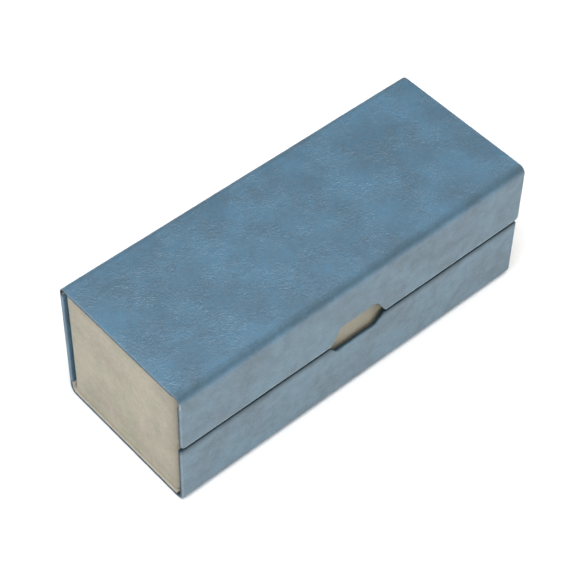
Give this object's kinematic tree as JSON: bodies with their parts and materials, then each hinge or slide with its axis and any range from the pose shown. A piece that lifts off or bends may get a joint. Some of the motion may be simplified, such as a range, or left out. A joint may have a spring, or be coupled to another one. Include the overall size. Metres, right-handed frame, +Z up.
{
  "type": "multi glasses organizer",
  "caption": "Rectangular spectacle box: a leather-look cover folded round a rigid two-slot tray, with a hinged lid and a magnetic front flap with a finger notch.",
  "frame": {"origin": "middle of the flat underside, on the face the box rests on", "axes": "+X along the box's length, -Y towards the flap side, +Z up; the box is closed at rest"},
  "size_m": [0.18, 0.0724, 0.0652],
  "materials": {
    "cover_leather": "slate blue faux leather, matt, clouded",
    "tray_leather": "beige faux leather, matt, fine grain",
    "lining": "beige microsuede",
    "board": "greyboard, matt",
    "pad": "beige microsuede over a thin foam",
    "magnet": "nickel-plated disc magnet"
  },
  "bodies": {
    "case": {"body_leather": "cover_leather", "body_lining": "lining", "base_board": "board", "back_board": "board", "front_board": "board", "lid_crease_leather": "cover_leather", "lid_crease_lining": "lining", "tray_wrap": "tray_leather", "tray_liner": "lining", "tray_floor_board": "board", "tray_front_board": "board", "tray_back_board": "board", "tray_left_board": "board", "tray_right_board": "board", "tray_magnet_left": "magnet", "tray_magnet_right": "magnet", "divider_board": "board", "divider_cloth": "lining", "slot_pad_front": "pad", "slot_pad_rear": "pad"},
    "lid": {"lid_leather": "cover_leather", "lid_board": "board", "lid_lining": "lining", "flap_crease_leather": "cover_leather", "flap_crease_lining": "lining"},
    "flap": {"flap_leather": "cover_leather", "flap_board": "board", "flap_lining": "lining", "flap_magnet_left": "magnet", "flap_magnet_right": "magnet"}
  },
  "joints": [
    {"name": "lid_hinge", "type": "hinge", "parent": "case", "child": "lid", "pos_m": [0, 0.03503, 0.06403], "axis": [-1, 0, 0], "range_deg": [0, 175], "deforming": ["lid_crease_leather", "lid_crease_lining"]},
    {"name": "flap_hinge", "type": "hinge", "parent": "lid", "child": "flap", "pos_m": [0, -0.03503, 0.06403], "axis": [-1, 0, 0], "range_deg": [0, 175], "deforming": ["flap_crease_leather", "flap_crease_lining"]}
  ]
}
